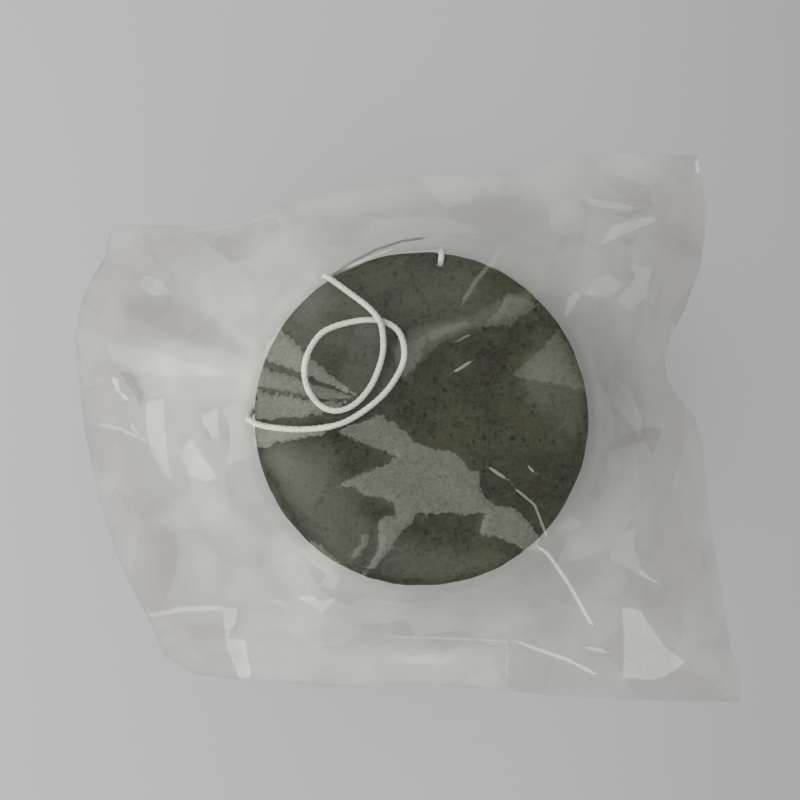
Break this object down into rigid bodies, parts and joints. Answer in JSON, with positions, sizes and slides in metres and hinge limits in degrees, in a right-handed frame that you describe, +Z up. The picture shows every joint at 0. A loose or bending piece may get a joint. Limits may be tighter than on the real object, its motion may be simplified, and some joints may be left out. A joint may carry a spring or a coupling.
{
  "type": "konjac sponge",
  "caption": "Round grey-green konjac sponge, half ball with its flat face up, with a cotton hanging loop, lying in a crumpled clear film bag.",
  "frame": {"origin": "on the table, under the middle of the bag's outline as it lies", "axes": "+X along the bag's longer side, +Y towards the side where the loop is threaded, +Z up, out of the sponge's flat face"},
  "size_m": [0.175, 0.144, 0.0365],
  "materials": {
    "foam": "matte moist fine-pored foam",
    "twine": "matte twisted cotton",
    "film": "thin clear crumpled film"
  },
  "bodies": {
    "root": {"sponge_body": "foam", "hanging_cord": "twine", "cord_knot": "twine", "bag_back_film": "film", "bag_front_film": "film"}
  },
  "joints": []
}
